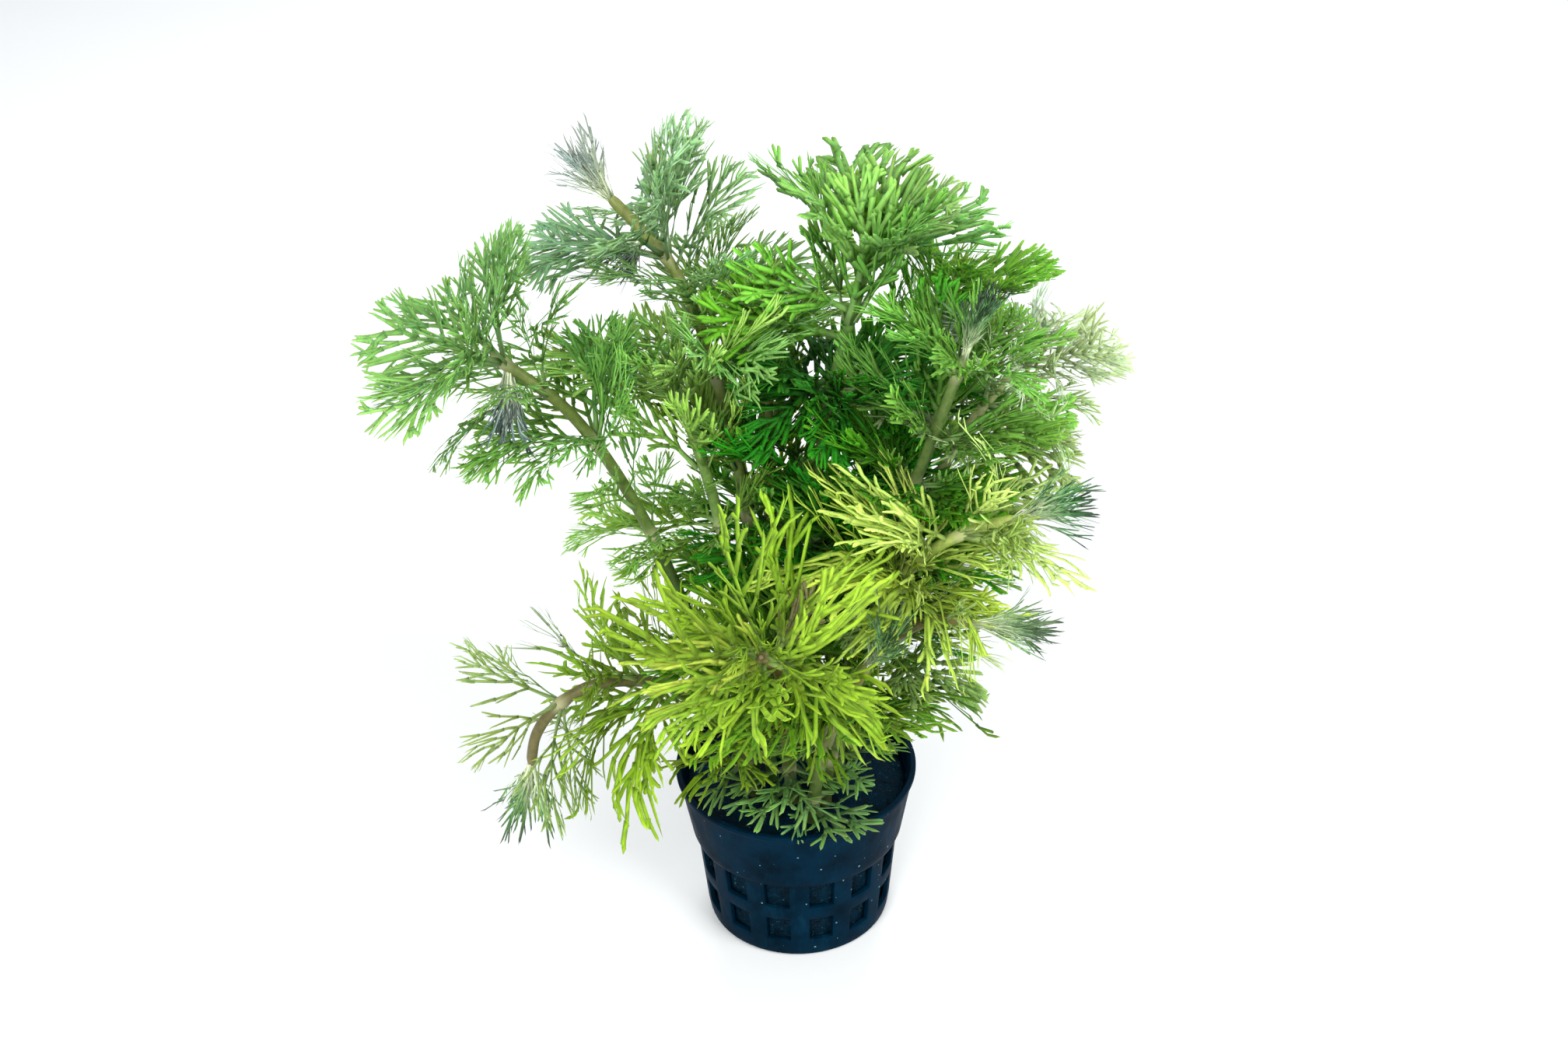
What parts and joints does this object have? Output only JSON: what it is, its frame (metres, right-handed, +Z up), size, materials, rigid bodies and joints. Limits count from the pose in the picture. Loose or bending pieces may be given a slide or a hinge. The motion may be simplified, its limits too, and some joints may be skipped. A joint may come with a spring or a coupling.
{
  "type": "potted ambulia",
  "caption": "Small net pot with a bunch of soft pond or aquarium stems, each carrying whorls of finely forked leaves; stands free on its base.",
  "frame": {"origin": "centre of the pot's flat base, at the surface that it stands on", "axes": "+Z up; -Y is the front, where the lowest leaves hang over the lip"},
  "size_m": [0.1469, 0.1212, 0.1801],
  "materials": {
    "pot": "dark blue-black moulded plastic, semi-matt, with fine pale scuffs and specks",
    "plug": "wet dark mineral wool, matt and fibrous, with pale specks",
    "stem": "olive to purple-brown soft stem, finely ribbed, satin, paler at its nodes",
    "leaf": "fresh green leaf, satin and slightly translucent, from bluish to yellow-green",
    "bud": "closed wet leaves, dark green with nearly black tips, slightly glossy"
  },
  "bodies": {
    "root": {"net_pot": "pot", "growing_plug": "plug", "stem_back_left": "stem", "stem_left": "stem", "stem_middle_left": "stem", "stem_back": "stem", "stem_crown": "stem", "stem_back_right": "stem", "stem_right": "stem", "stem_far_right": "stem", "stem_low_right": "stem", "stem_arching_right": "stem", "stem_front": "stem", "stem_arching_left": "stem", "stem_front_right": "stem", "bud_back_left": "bud", "bud_right": "bud", "bud_low_right": "bud", "bud_arching_right": "bud", "bud_arching_left": "bud", "bud_front_right": "bud", "leaves_back_left_1": "leaf", "leaves_back_left_2": "leaf", "leaves_back_left_3": "leaf", "leaves_left_1": "leaf", "leaves_left_2": "leaf", "leaves_left_3": "leaf", "leaves_left_4": "leaf", "leaves_middle_left_1": "leaf", "leaves_middle_left_2": "leaf", "leaves_middle_left_3": "leaf", "leaves_back_1": "leaf", "leaves_back_2": "leaf", "leaves_back_3": "leaf", "leaves_crown_1": "leaf", "leaves_crown_2": "leaf", "leaves_crown_3": "leaf", "leaves_crown_4": "leaf", "leaves_back_right_1": "leaf", "leaves_back_right_2": "leaf", "leaves_back_right_3": "leaf", "leaves_right_1": "leaf", "leaves_right_2": "leaf", "leaves_right_3": "leaf", "leaves_far_right_1": "leaf", "leaves_far_right_2": "leaf", "leaves_far_right_3": "leaf", "leaves_low_right_1": "leaf", "leaves_low_right_2": "leaf", "leaves_low_right_3": "leaf", "leaves_arching_right_1": "leaf", "leaves_arching_right_2": "leaf", "leaves_front_1": "leaf", "leaves_front_2": "leaf", "leaves_front_3": "leaf", "leaves_arching_left_1": "leaf", "leaves_arching_left_2": "leaf", "leaves_arching_left_3": "leaf", "leaves_front_right_1": "leaf", "leaves_front_right_2": "leaf"}
  },
  "joints": []
}
